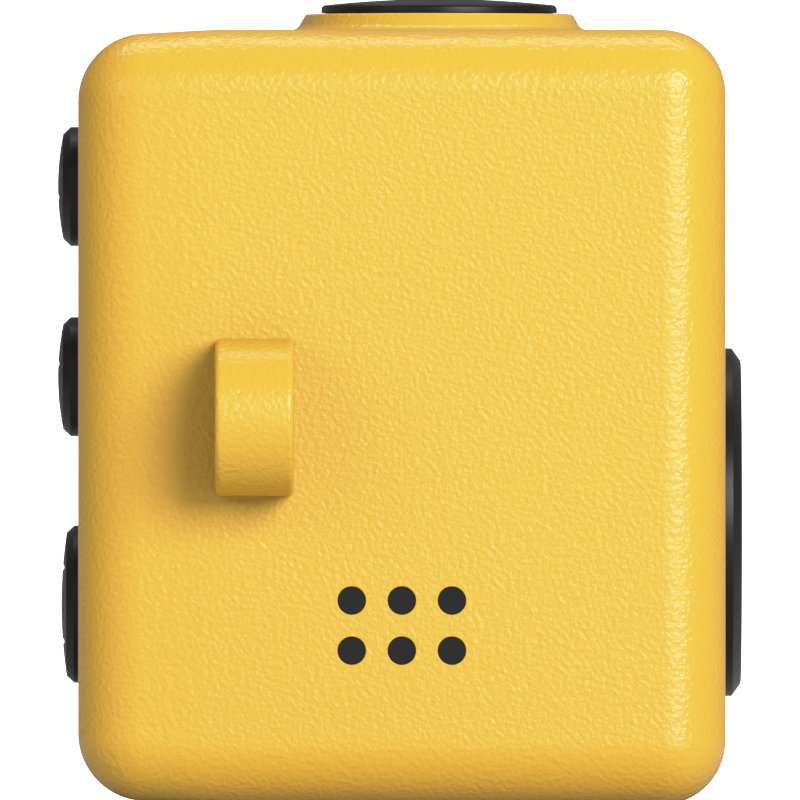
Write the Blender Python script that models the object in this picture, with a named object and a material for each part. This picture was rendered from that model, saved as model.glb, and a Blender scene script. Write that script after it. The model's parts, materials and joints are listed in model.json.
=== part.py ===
"""Fidget cube: a moulded case with click buttons, a slide switch, a glide pad, a dial, rollers and a ball.

Shapes are drawn in millimetres and scaled to metres when their objects are made.
+X is right, +Y is back and +Z is up. The case is drawn centred on X and Y, standing on Z = 0.
"""

import math
from collections import namedtuple

import bmesh
import bpy
from mathutils import Matrix, Vector

MM = 0.001

# Case
WIDTH = 33.0
DEPTH = 33.0
HEIGHT = 39.5
EDGE_RADIUS = 3.25
EDGE_STEPS = 6
WALL = 1.8
BASE_WALL = 3.0
TAPER_START_X = -9.66
TAPER = 0.37
SPLIT_Y = 11.0
SPLIT_GAP = 0.1
LIP_END_Y = 10.0
LIP_GAP = 0.12
LIP_WALL = 1.0
LIP_ROOT = 0.8
DISH_RADII = (10.6, 8.3, 2.8)
DISH_CENTRE_Z = -1.5

HALF_W = WIDTH / 2
HALF_D = DEPTH / 2
MID_Z = HEIGHT / 2
INNER_X = HALF_W - WALL
INNER_Y = HALF_D - WALL
ROOF_Z = HEIGHT - WALL

# Fits
RUN = 0.12
SHIM = 0.06
PILOT = 0.05
REACH = 1.0
ROOT = 0.3

# Screws
Screw = namedtuple("Screw", "shank head head_height length")
CASE_SCREW = Screw(0.8, 1.38, 0.9, 5.0)
BOARD_SCREW = Screw(0.6, 1.3, 0.6, 3.8)
SLIDE_SCREW = Screw(0.5, 1.5, 0.5, 2.6)
TRACK_SCREW = Screw(0.5, 1.0, 0.5, 2.9)
FRAME_SCREW = Screw(0.6, 1.3, 0.6, 4.1)
GLIDE_SCREW = Screw(0.6, 1.3, 0.6, 3.4)
DIAL_SCREW = Screw(0.6, 2.4, 0.6, 2.6)
LEAF_SCREW = Screw(0.6, 1.2, 0.5, 2.2)
BACK_SCREW = Screw(0.6, 1.15, 0.5, 2.5)
SCREW_POINT = 0.2
PILOT_SPARE = 0.2

CASE_SCREW_X = 11.4
CASE_SCREW_Z = (5.3, 35.4)
CASE_SCREW_SEAT_Y = 12.0
COLUMN_RADIUS = 2.0
COUNTERBORE = 1.5
BLOCK_X = (9.2, 15.0)
BLOCK_Y = (6.4, 9.8)
BLOCK_HALF_Z = 2.4

# Click side. A groove is given by its height from the button's middle.
BUTTON_X = -HALF_W
BUTTONS = {
    "upper": {"z": 31.59, "radius": 3.06, "proud": 1.15, "groove_depth": 0.06, "grooves": (-0.56,)},
    "middle": {"z": 21.83, "radius": 3.06, "proud": 1.15, "groove_depth": 0.06, "grooves": (0.66,)},
    "lower": {"z": 10.15, "radius": 4.04, "proud": 0.97, "groove_depth": 0.09, "grooves": (-1.9, 1.9)},
}
BUTTON_CHAMFER = 0.37
BUTTON_DOME = 0.27
GROOVE_WIDTH = 0.34
FLANGE_OVER = 0.85
FLANGE_WALL = 0.6
FLANGE_GAP = 0.1
STEM_RADIUS = 1.0
STEM_END_X = -12.3
BUTTON_SPRING_RADIUS = 2.0
BOARD_X = (-11.3, -10.3)
BOARD_HALF_Y = 5.8
BOARD_Z = (5.4, 34.6)
BOARD_SCREW_PLACES = ((4.2, 26.66), (-4.2, 16.3))
BOARD_POST_RADIUS = 1.3
CLICK_DOME_RADIUS = 1.6
CLICK_DOME_HEIGHT = 0.5
CLICK_DOME_SKIRT = 0.1

# Slide switch
SWITCH_X = -7.48
TAB_RADIUS = 3.99
TAB_STRAIGHT = 2.5
TAB_HALF_WIDTH = 2.0
TAB_EDGE = 0.28
SWITCH_TRAVEL = 1.4
SLOT_GAP = 0.1
STEM_HALF = (0.9, 1.0)
STEM_END_Y = -13.4
CARRIAGE_HALF = (2.4, 3.0)
CARRIAGE_Y = (-14.55, -13.45)
NOTCH_DEPTH = 0.4
NOTCH_HALF = 0.9
TRACK_Y = (-14.65, -13.0)
TRACK_X = (-3.6, 4.7)
TRACK_HALF_Z = 6.8
TRACK_SCREW_Z = 5.6
WINDOW_X = (-2.52, 3.6)
DETENT_Y = (-14.3, -13.6)
DETENT_HALF = 4.2
DETENT_NOSE_HALF = 0.8
DETENT_NOSE = 0.2

# Pips
PIP_RADIUS = 0.68
PIP_HOLE = 0.71
PIP_SUNK = 0.03
PIP_PITCH = 2.55
PIP_ROWS_Z = (10.45, 7.85)
PIP_PLATE_X = 4.2
PIP_PLATE_Z = (5.9, 12.4)
PIP_PLATE_WALL = 1.0
PIP_ROOT = 0.4

# Glide pad
GLIDE_X = 1.92
BOSS_TOP = HEIGHT + 0.93
BOSS_TOP_RADIUS = 6.94
BOSS_FOOT_RADIUS = 7.66
BOSS_FILLET = 0.61
BOSS_EDGE = 0.2
CAP_RADIUS = 6.05
CAP_TOP = HEIGHT + 1.72
CAP_SIDE_Z = HEIGHT + 1.18
CAP_EDGE = 0.22
CAP_BUTTON_RADIUS = 2.2
CAP_BUTTON_RISE = 0.08
GLIDE_TRAVEL = 0.7
GLIDE_HOLE = 2.6
GLIDE_STEM = 1.5
SQUARE_TOP_Z = 37.5
STEM_FOOT_Z = 33.92
SLIDER_HALF = (4.5, 4.0)
SLIDER_Z = (35.2, 36.2)
FRAME_HALF = (7.0, 7.2)
FRAME_Z = (34.0, 37.6)
FRAME_SEAT = 1.0
FRAME_SCREW_Y = 5.7
POCKET_HALF = (5.35, 4.1)
POCKET_FLOOR_Z = 35.1
FLOOR_HOLE = 3.3
RING_RADII = (2.25, 3.95)
RING_Z = (36.4, 37.4)
RETAINER_RADIUS = 5.4
RETAINER_Z = (33.0, 33.85)

# Dial
DIAL_Z = 14.36
DIAL_RADIUS = 8.93
DIAL_PROUD = 0.9
DIAL_CHAMFER = (0.68, 0.45)
RECESS_DEPTH = 0.7
HUB_RADIUS = 2.5
HUB_END_X = 14.5
DRIVE_HALF = 1.6
DRIVE_END_X = 12.9
SCALLOPS = 24
SCALLOP_RADIUS = 6.15
SCALLOP_DEPTH = 0.25
DIMPLE_RADIUS = 4.2
DIMPLE_OFFSET = 4.7
DIMPLE_DEPTH = 0.8
LEAF_X = 13.4
LEAF_HALF_WIDTH = 1.0
LEAF_SCREW_Y = -9.5
LEAF_ENDS_Y = (-10.7, -8.0)
LEAF_TIP = (0.8, 0.9)
LEAF_WALL = 0.15
LEAF_POST_X = 12.2
LEAF_POST_HALF_Y = 1.4
LEAF_POST_Z = (19.9, 22.4)

# Rollers
ROLLER_Y = 13.0
ROLLER_Z = 27.0
ROLLER_RADIUS = 4.5
ROLLER_WIDTH = 2.6
ROLLER_PITCH = 3.5
ROLLER_GAP = 0.15
ROLLER_RIDGES = 18
RIDGE_DEPTH = 0.22
ROLLERS = {"roller_left": -ROLLER_PITCH, "roller_centre": 0.0, "roller_right": ROLLER_PITCH}
AXLE_RADIUS = 0.8
ARM_X = (5.1, 6.3)
ARM_HALF_Z = 2.0
BRACKET_Y = (7.2, 8.2)
BRACKET_SCREW_X = 7.7
FLANGE_X = (6.0, 9.3)
FLANGE_Y = (13.4, 14.6)

# Ball
BALL_RADIUS = 3.2
BALL_PROUD = 1.6
BALL_Y = HALF_D + BALL_PROUD - BALL_RADIUS
BALL_Z = 12.0
BALL_LIP = 0.3
BALL_BEVEL = 0.2
BALL_OPENING = 3.0
BALL_SEAT = 3.35
CUP_RADIUS = 3.7
CUP_MOUTH = 1.9
CUP_LOW_Y = 10.6
TUBE_RADIUS = 4.9
TUBE_Y = (7.4, 14.64)
TUBE_FLOOR_Y = 8.2
EAR_X = (4.6, 7.8)
EAR_LOW_Y = 13.2
EAR_HALF_Z = 1.5
BALL_SCREW_X = 6.3
BALL_SPRING_RADIUS = 2.6

# Springs
WIRE = 0.15
SPRING_GAP = 0.05

# Sides of round pieces
FINE = 36
MEDIUM = 24
COARSE = 16
SMALL = 12
PER_RIDGE = 4
SHARP_ANGLE = 32.0

# The object's origin is under the middle of everything, and the tab stands out further than the ball.
CASE_PLACE = (0.0, (SHIM + TAB_STRAIGHT + TAB_RADIUS - BALL_PROUD) / 2, 0.0)

# Colour, roughness and metallic value
FINISHES = {
    "case_yellow": ((0.92, 0.58, 0.095), 0.42, 0.0),
    "control_black": ((0.022, 0.022, 0.023), 0.38, 0.0),
    "pip_black": ((0.027, 0.027, 0.028), 0.55, 0.0),
    "inner_white": ((0.72, 0.72, 0.7), 0.5, 0.0),
    "steel": ((0.62, 0.62, 0.63), 0.25, 1.0),
    "spring_steel": ((0.5, 0.5, 0.52), 0.3, 1.0),
    "soft_rubber": ((0.05, 0.05, 0.055), 0.8, 0.0),
}

# Where each moving body's empty stands, in the case's millimetres.
PIVOTS = {
    "housing": (0.0, 0.0, 0.0),
    "slide_switch": (SWITCH_X, -HALF_D, MID_Z),
    "glide_carriage": (GLIDE_X, 0.0, BOSS_TOP),
    "glide_pad": (GLIDE_X, 0.0, BOSS_TOP),
    "dial": (HALF_W, 0.0, DIAL_Z),
    "ball_plunger": (0.0, BALL_Y, BALL_Z),
    "ball": (0.0, BALL_Y, BALL_Z),
}
PIVOTS.update({name: (x, ROLLER_Y, ROLLER_Z) for name, x in ROLLERS.items()})
PIVOTS.update({f"button_{name}": (BUTTON_X, 0.0, spec["z"]) for name, spec in BUTTONS.items()})
BODY_PARENTS = {"glide_pad": "glide_carriage", "ball": "ball_plunger"}

bodies = {}


def clear_scene():
    for obj in list(bpy.data.objects):
        bpy.data.objects.remove(obj)


def make_bodies():
    """One empty for each rigid body, standing on its joint."""
    for name, pivot in PIVOTS.items():
        empty = bpy.data.objects.new(f"body_{name}", None)
        empty.empty_display_size = 2 * MM
        bpy.context.collection.objects.link(empty)
        place = Vector(pivot)
        if name == "housing":
            place += Vector(CASE_PLACE)
        else:
            parent = BODY_PARENTS.get(name, "housing")
            empty.parent = bodies[parent]
            place -= Vector(PIVOTS[parent])
        empty.location = place * MM
        bodies[name] = empty


def material(name):
    found = bpy.data.materials.get(name)
    if found:
        return found
    colour, roughness, metallic = FINISHES[name]
    made = bpy.data.materials.new(name)
    made.use_nodes = True
    shader = made.node_tree.nodes["Principled BSDF"]
    shader.inputs["Base Color"].default_value = (*colour, 1.0)
    shader.inputs["Roughness"].default_value = roughness
    shader.inputs["Metallic"].default_value = metallic
    made.diffuse_color = (*colour, 1.0)
    return made


def mesh_from(name, shape, pivot):
    """A smooth-shaded mesh in metres around its pivot."""
    move = Matrix.Scale(MM, 4) @ Matrix.Translation(-Vector(pivot))
    bmesh.ops.transform(shape, matrix=move, verts=shape.verts)
    mesh = bpy.data.meshes.new(name)
    shape.to_mesh(mesh)
    shape.free()
    mesh.shade_smooth()
    mesh.set_sharp_from_angle(angle=math.radians(SHARP_ANGLE))
    return mesh


def gather(shapes):
    """Puts separate closed shapes into one mesh, to be used as one tool."""
    whole = bmesh.new()
    for shape in shapes:
        mesh = bpy.data.meshes.new("tool_part")
        shape.to_mesh(mesh)
        shape.free()
        whole.from_mesh(mesh)
        bpy.data.meshes.remove(mesh)
    return whole


def boolean(obj, operation, shapes, body):
    """Joins or cuts a set of shapes that don't touch each other."""
    label = f"tool_{obj.name}_{len(obj.modifiers)}"
    tool = bpy.data.objects.new(label, mesh_from(label, gather(shapes), PIVOTS[body]))
    bpy.context.collection.objects.link(tool)
    tool.parent = bodies[body]
    tool.hide_render = True
    tool.display_type = "WIRE"
    modifier = obj.modifiers.new(operation.title(), "BOOLEAN")
    modifier.operation = operation
    modifier.solver = "EXACT"
    modifier.object = tool


def piece(name, shape, finish, body="housing", add=(), cut=()):
    """Makes one sub-part. Each group in add is joined to it, then each group in cut is taken away."""
    obj = bpy.data.objects.new(name, mesh_from(name, shape, PIVOTS[body]))
    bpy.context.collection.objects.link(obj)
    obj.parent = bodies[body]
    obj.data.materials.append(material(finish))
    for group in add:
        boolean(obj, "UNION", group, body)
    for group in cut:
        boolean(obj, "DIFFERENCE", group, body)
    return obj


def box(low, high):
    shape = bmesh.new()
    bmesh.ops.create_cube(shape, size=1.0)
    size = Vector(high) - Vector(low)
    centre = (Vector(high) + Vector(low)) / 2
    grow = Matrix.Translation(centre) @ Matrix.Diagonal((*size, 1.0))
    bmesh.ops.transform(shape, matrix=grow, verts=shape.verts)
    return shape


def side_box(side, x_span, y_span, z_span):
    """A box on the left (side -1) or right (side 1) of the middle plane."""
    x_low, x_high = sorted(side * x for x in x_span)
    return box((x_low, y_span[0], z_span[0]), (x_high, y_span[1], z_span[1]))


def turned(profile, centre, axis, segments=MEDIUM):
    """Turns (radius, height) points about an axis. A profile that starts off the axis closes on itself."""
    shape = bmesh.new()
    rings = []
    for radius, height in profile:
        if radius == 0:
            rings.append([shape.verts.new((0, 0, height))] * segments)
            continue
        angles = [2 * math.pi * i / segments for i in range(segments)]
        rings.append([shape.verts.new((radius * math.cos(a), radius * math.sin(a), height)) for a in angles])
    pairs = list(zip(rings, rings[1:]))
    if profile[0][0] > 0:
        pairs.append((rings[-1], rings[0]))
    for first, second in pairs:
        for i in range(segments):
            j = (i + 1) % segments
            corners = dict.fromkeys((first[i], first[j], second[j], second[i]))
            if len(corners) > 2:
                shape.faces.new(corners)
    bmesh.ops.recalc_face_normals(shape, faces=shape.faces)
    turn = Vector((0, 0, 1)).rotation_difference(Vector(axis)).to_matrix().to_4x4()
    bmesh.ops.transform(shape, matrix=Matrix.Translation(centre) @ turn, verts=shape.verts)
    return shape


def rod(start, end, radius, segments=MEDIUM):
    """A plain cylinder between two points."""
    along = Vector(end) - Vector(start)
    profile = ((0, 0), (radius, 0), (radius, along.length), (0, along.length))
    return turned(profile, start, along, segments)


def ball_shape(centre, radius, segments, rings):
    shape = bmesh.new()
    bmesh.ops.create_uvsphere(shape, u_segments=segments, v_segments=rings, radius=radius)
    bmesh.ops.transform(shape, matrix=Matrix.Translation(centre), verts=shape.verts)
    return shape


def arc(centre, radius, start, end, steps):
    """Points on a circle, angles in degrees."""
    angles = [math.radians(start + (end - start) * i / steps) for i in range(steps + 1)]
    return [(centre[0] + radius * math.cos(a), centre[1] + radius * math.sin(a)) for a in angles]


def waved_circle(radius, depth, waves):
    """A circle whose radius swings by depth each side, with its valleys where it starts."""
    points = waves * PER_RIDGE
    angles = [2 * math.pi * i / points for i in range(points)]
    radii = [radius - depth * math.cos(waves * a) for a in angles]
    return [(r * math.cos(a), r * math.sin(a)) for r, a in zip(radii, angles)]


def extruded(outline, to_point, low, high):
    """Pushes a flat outline of (u, v) points from low to high; to_point(u, v, w) places it."""
    shape = bmesh.new()
    first = [shape.verts.new(to_point(u, v, low)) for u, v in outline]
    second = [shape.verts.new(to_point(u, v, high)) for u, v in outline]
    shape.faces.new(first)
    shape.faces.new(reversed(second))
    for i in range(len(outline)):
        j = (i + 1) % len(outline)
        shape.faces.new((first[j], first[i], second[i], second[j]))
    bmesh.ops.recalc_face_normals(shape, faces=shape.faces)
    return shape


def coil(start, axis, radius, length, turns=3, per_turn=12, sides=5):
    """A spring wire: a small circle swept along a helix, with flat ends."""
    shape = bmesh.new()
    axis = Vector(axis).normalized()
    side = axis.orthogonal().normalized()
    other = axis.cross(side)
    count = turns * per_turn
    rise = length - 2 * WIRE
    rings = []
    for i in range(count + 1):
        angle = 2 * math.pi * i / per_turn
        out = side * math.cos(angle) + other * math.sin(angle)
        centre = Vector(start) + out * radius + axis * (WIRE + rise * i / count)
        turns_of_wire = [2 * math.pi * k / sides for k in range(sides)]
        spokes = [out * math.cos(t) + axis * math.sin(t) for t in turns_of_wire]
        rings.append([shape.verts.new(centre + WIRE * spoke) for spoke in spokes])
    for first, second in zip(rings, rings[1:]):
        for k in range(sides):
            n = (k + 1) % sides
            shape.faces.new((first[k], first[n], second[n], second[k]))
    shape.faces.new(rings[0])
    shape.faces.new(reversed(rings[-1]))
    bmesh.ops.recalc_face_normals(shape, faces=shape.faces)
    return shape


def strip(path, thickness):
    """The outline of a bent leaf: the path and its copy, one thickness further along v."""
    return list(path) + [(u, v + thickness) for u, v in reversed(path)]


def screw(name, size, seat, direction, body="housing"):
    """A pan-head screw whose head sits on seat and whose shank runs along direction."""
    edge = size.head_height / 3
    top = -size.head_height - SHIM
    profile = (
        (0, top),
        (size.head - edge, top),
        (size.head, top + edge),
        (size.head, -SHIM),
        (size.shank, -SHIM),
        (size.shank, size.length - size.shank / 2),
        (SCREW_POINT, size.length),
        (0, size.length),
    )
    piece(name, turned(profile, seat, direction, SMALL), "steel", body)


def pilot_hole(size, seat, direction):
    """A round cutter that a screw bites into."""
    along = Vector(direction)
    end = Vector(seat) + along * (size.length + PILOT_SPARE)
    return rod(Vector(seat) - along * REACH, end, size.shank + PILOT, SMALL)


def clear_hole(size, seat, direction, depth):
    """A round cutter that a screw passes through, depth past its seat."""
    along = Vector(direction)
    return rod(Vector(seat) - along * REACH, Vector(seat) + along * depth, size.shank + RUN, SMALL)


# ---------------------------------------------------------------- case


def case_block():
    """The case as one solid: a box whose left end tapers, with rounded outer edges."""
    shape = bmesh.new()
    sections = ((-HALF_W, TAPER), (TAPER_START_X, 0.0), (HALF_W, 0.0))
    rings = []
    for x, inset in sections:
        half_d = HALF_D - inset
        low = inset
        high = HEIGHT - inset
        corners = ((-half_d, low), (half_d, low), (half_d, high), (-half_d, high))
        rings.append([shape.verts.new((x, y, z)) for y, z in corners])
    for first, second in zip(rings, rings[1:]):
        for k in range(4):
            n = (k + 1) % 4
            shape.faces.new((first[k], first[n], second[n], second[k]))
    shape.faces.new(rings[0])
    shape.faces.new(reversed(rings[-1]))
    bmesh.ops.recalc_face_normals(shape, faces=shape.faces)
    crease = set(rings[1])
    edges = [e for e in shape.edges if not set(e.verts) <= crease]
    bmesh.ops.bevel(
        shape,
        geom=edges,
        offset=EDGE_RADIUS,
        offset_type="OFFSET",
        segments=EDGE_STEPS,
        profile=0.5,
        affect="EDGES",
    )
    return shape


def outside_box(y_low, y_high):
    """A box wider and taller than the whole object, between two depths."""
    return box((-WIDTH, y_low, -REACH), (WIDTH, y_high, HEIGHT + WALL * 2))


def cavity(y_low, y_high):
    return box((-INNER_X, y_low, BASE_WALL), (INNER_X, y_high, ROOF_Z))


def top_boss():
    """A low round boss whose sloping side runs out into the top of the case."""
    foot = arc((BOSS_FOOT_RADIUS, HEIGHT + BOSS_FILLET), BOSS_FILLET, 264, 206, 4)
    rim = arc((BOSS_TOP_RADIUS - BOSS_EDGE, BOSS_TOP - BOSS_EDGE), BOSS_EDGE, 15, 90, 3)
    low = ROOF_Z + SHIM
    profile = [(0, low), (foot[0][0], low), *foot, *rim, (0, BOSS_TOP)]
    return turned(profile, (GLIDE_X, 0, 0), (0, 0, 1), FINE)


def worry_dish():
    shape = bmesh.new()
    bmesh.ops.create_uvsphere(shape, u_segments=MEDIUM, v_segments=SMALL, radius=1.0)
    grow = Matrix.Translation((0, 0, DISH_CENTRE_Z)) @ Matrix.Diagonal((*DISH_RADII, 1.0))
    bmesh.ops.transform(shape, matrix=grow, verts=shape.verts)
    return shape


def case_screw_seats():
    return [(side * CASE_SCREW_X, CASE_SCREW_SEAT_Y, z) for z in CASE_SCREW_Z for side in (-1, 1)]


def board_screw_seats():
    return [(BOARD_X[1], y, z) for y, z in BOARD_SCREW_PLACES]


def track_screw_seats():
    return [(SWITCH_X, TRACK_Y[1], MID_Z + side * TRACK_SCREW_Z) for side in (-1, 1)]


def frame_screw_seats():
    return [(GLIDE_X, side * FRAME_SCREW_Y, FRAME_Z[0] + FRAME_SEAT) for side in (-1, 1)]


def leaf_screw_seat():
    return (LEAF_X, LEAF_SCREW_Y, LEAF_POST_Z[1] + SHIM + LEAF_WALL)


def bracket_screw_seats():
    return [(side * BRACKET_SCREW_X, FLANGE_Y[0], ROLLER_Z) for side in (-1, 1)]


def ball_screw_seats():
    return [(side * BALL_SCREW_X, EAR_LOW_Y, BALL_Z) for side in (-1, 1)]


def pip_places():
    return [(column * PIP_PITCH, z) for z in PIP_ROWS_Z for column in (-1, 0, 1)]


def button_holes():
    """A rod through the left wall for each button."""
    return [
        rod((-WIDTH, 0, spec["z"]), (-INNER_X + REACH / 2, 0, spec["z"]), spec["radius"] + RUN)
        for spec in BUTTONS.values()
    ]


def dial_recess():
    """The dial's wide pocket and the bore for its hub. Heights run outwards from the right face."""
    bore = HUB_RADIUS + RUN
    wide = DIAL_RADIUS + RUN
    inside = -WALL - REACH / 2
    profile = (
        (0, inside),
        (bore, inside),
        (bore, -RECESS_DEPTH),
        (wide, -RECESS_DEPTH),
        (wide, REACH),
        (0, REACH),
    )
    return turned(profile, (HALF_W, 0, DIAL_Z), (1, 0, 0), FINE)


def switch_slot():
    half_x = STEM_HALF[0] + SLOT_GAP
    half_z = STEM_HALF[1] + SWITCH_TRAVEL + SLOT_GAP
    return box(
        (SWITCH_X - half_x, -HALF_D - REACH, MID_Z - half_z),
        (SWITCH_X + half_x, -INNER_Y + REACH, MID_Z + half_z),
    )


def build_front_housing():
    openings = [
        *button_holes(),
        dial_recess(),
        rod((GLIDE_X, 0, ROOF_Z - REACH), (GLIDE_X, 0, BOSS_TOP + REACH), GLIDE_HOLE),
        *[pilot_hole(FRAME_SCREW, seat, (0, 0, 1)) for seat in frame_screw_seats()],
    ]
    front_openings = [
        switch_slot(),
        *[rod((x, -DEPTH, z), (x, -INNER_Y + REACH / 2, z), PIP_HOLE, COARSE) for x, z in pip_places()],
        *[pilot_hole(TRACK_SCREW, seat, (0, -1, 0)) for seat in track_screw_seats()],
        worry_dish(),
    ]
    housing = piece(
        "front_housing",
        case_block(),
        "case_yellow",
        add=([top_boss()],),
        cut=([cavity(-INNER_Y, DEPTH)], [outside_box(SPLIT_Y, DEPTH)], openings, front_openings),
    )
    blocks = [
        side_box(side, BLOCK_X, BLOCK_Y, (z - BLOCK_HALF_Z, z + BLOCK_HALF_Z))
        for side in (-1, 1)
        for z in CASE_SCREW_Z
    ]
    board_posts = [
        rod((-INNER_X - ROOT, y, z), (BOARD_X[0] - SHIM, y, z), BOARD_POST_RADIUS, COARSE)
        for y, z in BOARD_SCREW_PLACES
    ]
    leaf_post = box(
        (LEAF_POST_X, LEAF_SCREW_Y - LEAF_POST_HALF_Y, LEAF_POST_Z[0]),
        (INNER_X + ROOT, LEAF_SCREW_Y + LEAF_POST_HALF_Y, LEAF_POST_Z[1]),
    )
    pilots = [
        *[pilot_hole(CASE_SCREW, seat, (0, -1, 0)) for seat in case_screw_seats()],
        *[pilot_hole(BOARD_SCREW, seat, (-1, 0, 0)) for seat in board_screw_seats()],
        pilot_hole(LEAF_SCREW, leaf_screw_seat(), (0, 0, -1)),
    ]
    boolean(housing, "UNION", [*blocks, *board_posts, leaf_post], "housing")
    boolean(housing, "DIFFERENCE", pilots, "housing")


def case_screw_wells():
    """A clearance hole with a wide counterbore for each case screw. Heights run outwards from the seat."""
    inside = LIP_END_Y - CASE_SCREW_SEAT_Y - REACH
    outside = HALF_D - CASE_SCREW_SEAT_Y + REACH
    narrow = CASE_SCREW.shank + RUN
    profile = (
        (0, inside),
        (narrow, inside),
        (narrow, 0),
        (COUNTERBORE, 0),
        (COUNTERBORE, outside),
        (0, outside),
    )
    return [turned(profile, seat, (0, 1, 0), COARSE) for seat in case_screw_seats()]


def ball_opening():
    """The ball's round opening, narrower at the outside so that the ball stays in."""
    lip = -BALL_LIP
    inside = -WALL - REACH
    profile = (
        (0, inside),
        (BALL_SEAT, inside),
        (BALL_SEAT, lip - BALL_BEVEL),
        (BALL_OPENING, lip),
        (BALL_OPENING, REACH),
        (0, REACH),
    )
    return turned(profile, (0, HALF_D, BALL_Z), (0, 1, 0))


def across_rod(x_low, x_high, radius, segments=MEDIUM):
    """A rod along the rollers' axle."""
    return rod((x_low, ROLLER_Y, ROLLER_Z), (x_high, ROLLER_Y, ROLLER_Z), radius, segments)


def build_rear_cover():
    start_y = SPLIT_Y + SPLIT_GAP
    cover = piece(
        "rear_cover",
        case_block(),
        "case_yellow",
        cut=([outside_box(-DEPTH, start_y)], [cavity(SPLIT_Y - REACH, INNER_Y)], [worry_dish()]),
    )
    lip_x = INNER_X - LIP_GAP
    lip_z = (BASE_WALL + LIP_GAP, ROOF_Z - LIP_GAP)
    lip_outer = box((-lip_x, LIP_END_Y, lip_z[0]), (lip_x, start_y + LIP_ROOT, lip_z[1]))
    lip_hole = box(
        (LIP_WALL - lip_x, LIP_END_Y - REACH, lip_z[0] + LIP_WALL),
        (lip_x - LIP_WALL, INNER_Y, lip_z[1] - LIP_WALL),
    )
    columns = [
        rod((x, LIP_END_Y, z), (x, INNER_Y + ROOT, z), COLUMN_RADIUS, COARSE)
        for x, y, z in case_screw_seats()
    ]
    half_slot = ROLLER_WIDTH / 2 + RUN
    slots = [
        across_rod(x - half_slot, x + half_slot, ROLLER_RADIUS + ROLLER_GAP, FINE) for x in ROLLERS.values()
    ]
    seats = (*bracket_screw_seats(), *ball_screw_seats())
    pilots = [pilot_hole(BACK_SCREW, seat, (0, 1, 0)) for seat in seats]
    boolean(cover, "UNION", [lip_outer], "housing")
    boolean(cover, "DIFFERENCE", [lip_hole], "housing")
    boolean(cover, "UNION", columns, "housing")
    boolean(cover, "DIFFERENCE", [*case_screw_wells(), *slots, ball_opening(), *pilots], "housing")


def build_case_screws():
    for number, seat in enumerate(case_screw_seats(), start=1):
        screw(f"rear_cover_screw_{number}", CASE_SCREW, seat, (0, -1, 0))


def build_pip_insert():
    front_y = -INNER_Y + SHIM
    plate = box(
        (-PIP_PLATE_X, front_y, PIP_PLATE_Z[0]),
        (PIP_PLATE_X, front_y + PIP_PLATE_WALL, PIP_PLATE_Z[1]),
    )
    pegs = [
        rod((x, -HALF_D + PIP_SUNK, z), (x, front_y + PIP_ROOT, z), PIP_RADIUS, COARSE)
        for x, z in pip_places()
    ]
    piece("pip_insert", plate, "pip_black", add=(pegs,))


# ---------------------------------------------------------------- click side


def button_shape(spec):
    """A cap with a chamfered rim and a low dome, a retaining flange and a stem. Heights run outwards."""
    top = spec["proud"]
    radius = spec["radius"]
    rim = top - BUTTON_DOME
    flange_top = -WALL - FLANGE_GAP
    flange_low = flange_top - FLANGE_WALL
    stem_low = BUTTON_X - STEM_END_X
    inner = radius - BUTTON_CHAMFER
    dome = [(inner * part, top - BUTTON_DOME * part**2) for part in (2 / 3, 1 / 3)]
    profile = [
        (0, stem_low),
        (STEM_RADIUS, stem_low),
        (STEM_RADIUS, flange_low),
        (radius + FLANGE_OVER, flange_low),
        (radius + FLANGE_OVER, flange_top),
        (radius, flange_top),
        (radius, rim - BUTTON_CHAMFER),
        (inner, rim),
        *dome,
        (0, top),
    ]
    return turned(profile, (BUTTON_X, 0, spec["z"]), (-1, 0, 0))


def button_grooves(spec):
    """Shallow grooves across a button's domed face."""
    grooves = []
    for offset in spec["grooves"]:
        drop = BUTTON_DOME * (offset / (spec["radius"] - BUTTON_CHAMFER)) ** 2
        floor_x = BUTTON_X - spec["proud"] + drop + spec["groove_depth"]
        z = spec["z"] + offset
        low = (floor_x - REACH, -2 * spec["radius"], z - GROOVE_WIDTH / 2)
        grooves.append(box(low, (floor_x, 2 * spec["radius"], z + GROOVE_WIDTH / 2)))
    return grooves


def click_dome_shape(z):
    """A thin snap dome that stands on the board and faces its button."""
    rise = CLICK_DOME_HEIGHT - CLICK_DOME_SKIRT
    skirt = SHIM + CLICK_DOME_SKIRT
    crown = [(r, skirt + h * rise / CLICK_DOME_RADIUS) for r, h in arc((0, 0), CLICK_DOME_RADIUS, 0, 60, 2)]
    profile = [(0, SHIM), (CLICK_DOME_RADIUS, SHIM), *crown, (0, skirt + rise)]
    return turned(profile, (BOARD_X[0], 0, z), (-1, 0, 0), COARSE)


def build_click_side():
    spring_x = -INNER_X + FLANGE_GAP + FLANGE_WALL + SPRING_GAP
    spring_length = BOARD_X[0] - SPRING_GAP - spring_x
    for name, spec in BUTTONS.items():
        body = f"button_{name}"
        piece(body, button_shape(spec), "control_black", body, cut=(button_grooves(spec),))
        spring = coil((spring_x, 0, spec["z"]), (1, 0, 0), BUTTON_SPRING_RADIUS, spring_length)
        piece(f"button_spring_{name}", spring, "spring_steel")
        piece(f"click_dome_{name}", click_dome_shape(spec["z"]), "spring_steel")
    board = box((BOARD_X[0], -BOARD_HALF_Y, BOARD_Z[0]), (BOARD_X[1], BOARD_HALF_Y, BOARD_Z[1]))
    holes = [clear_hole(BOARD_SCREW, seat, (-1, 0, 0), 2 * REACH) for seat in board_screw_seats()]
    piece("click_board", board, "inner_white", cut=(holes,))
    for number, seat in enumerate(board_screw_seats(), start=1):
        screw(f"click_board_screw_{number}", BOARD_SCREW, seat, (-1, 0, 0))


# ---------------------------------------------------------------- slide switch


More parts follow.
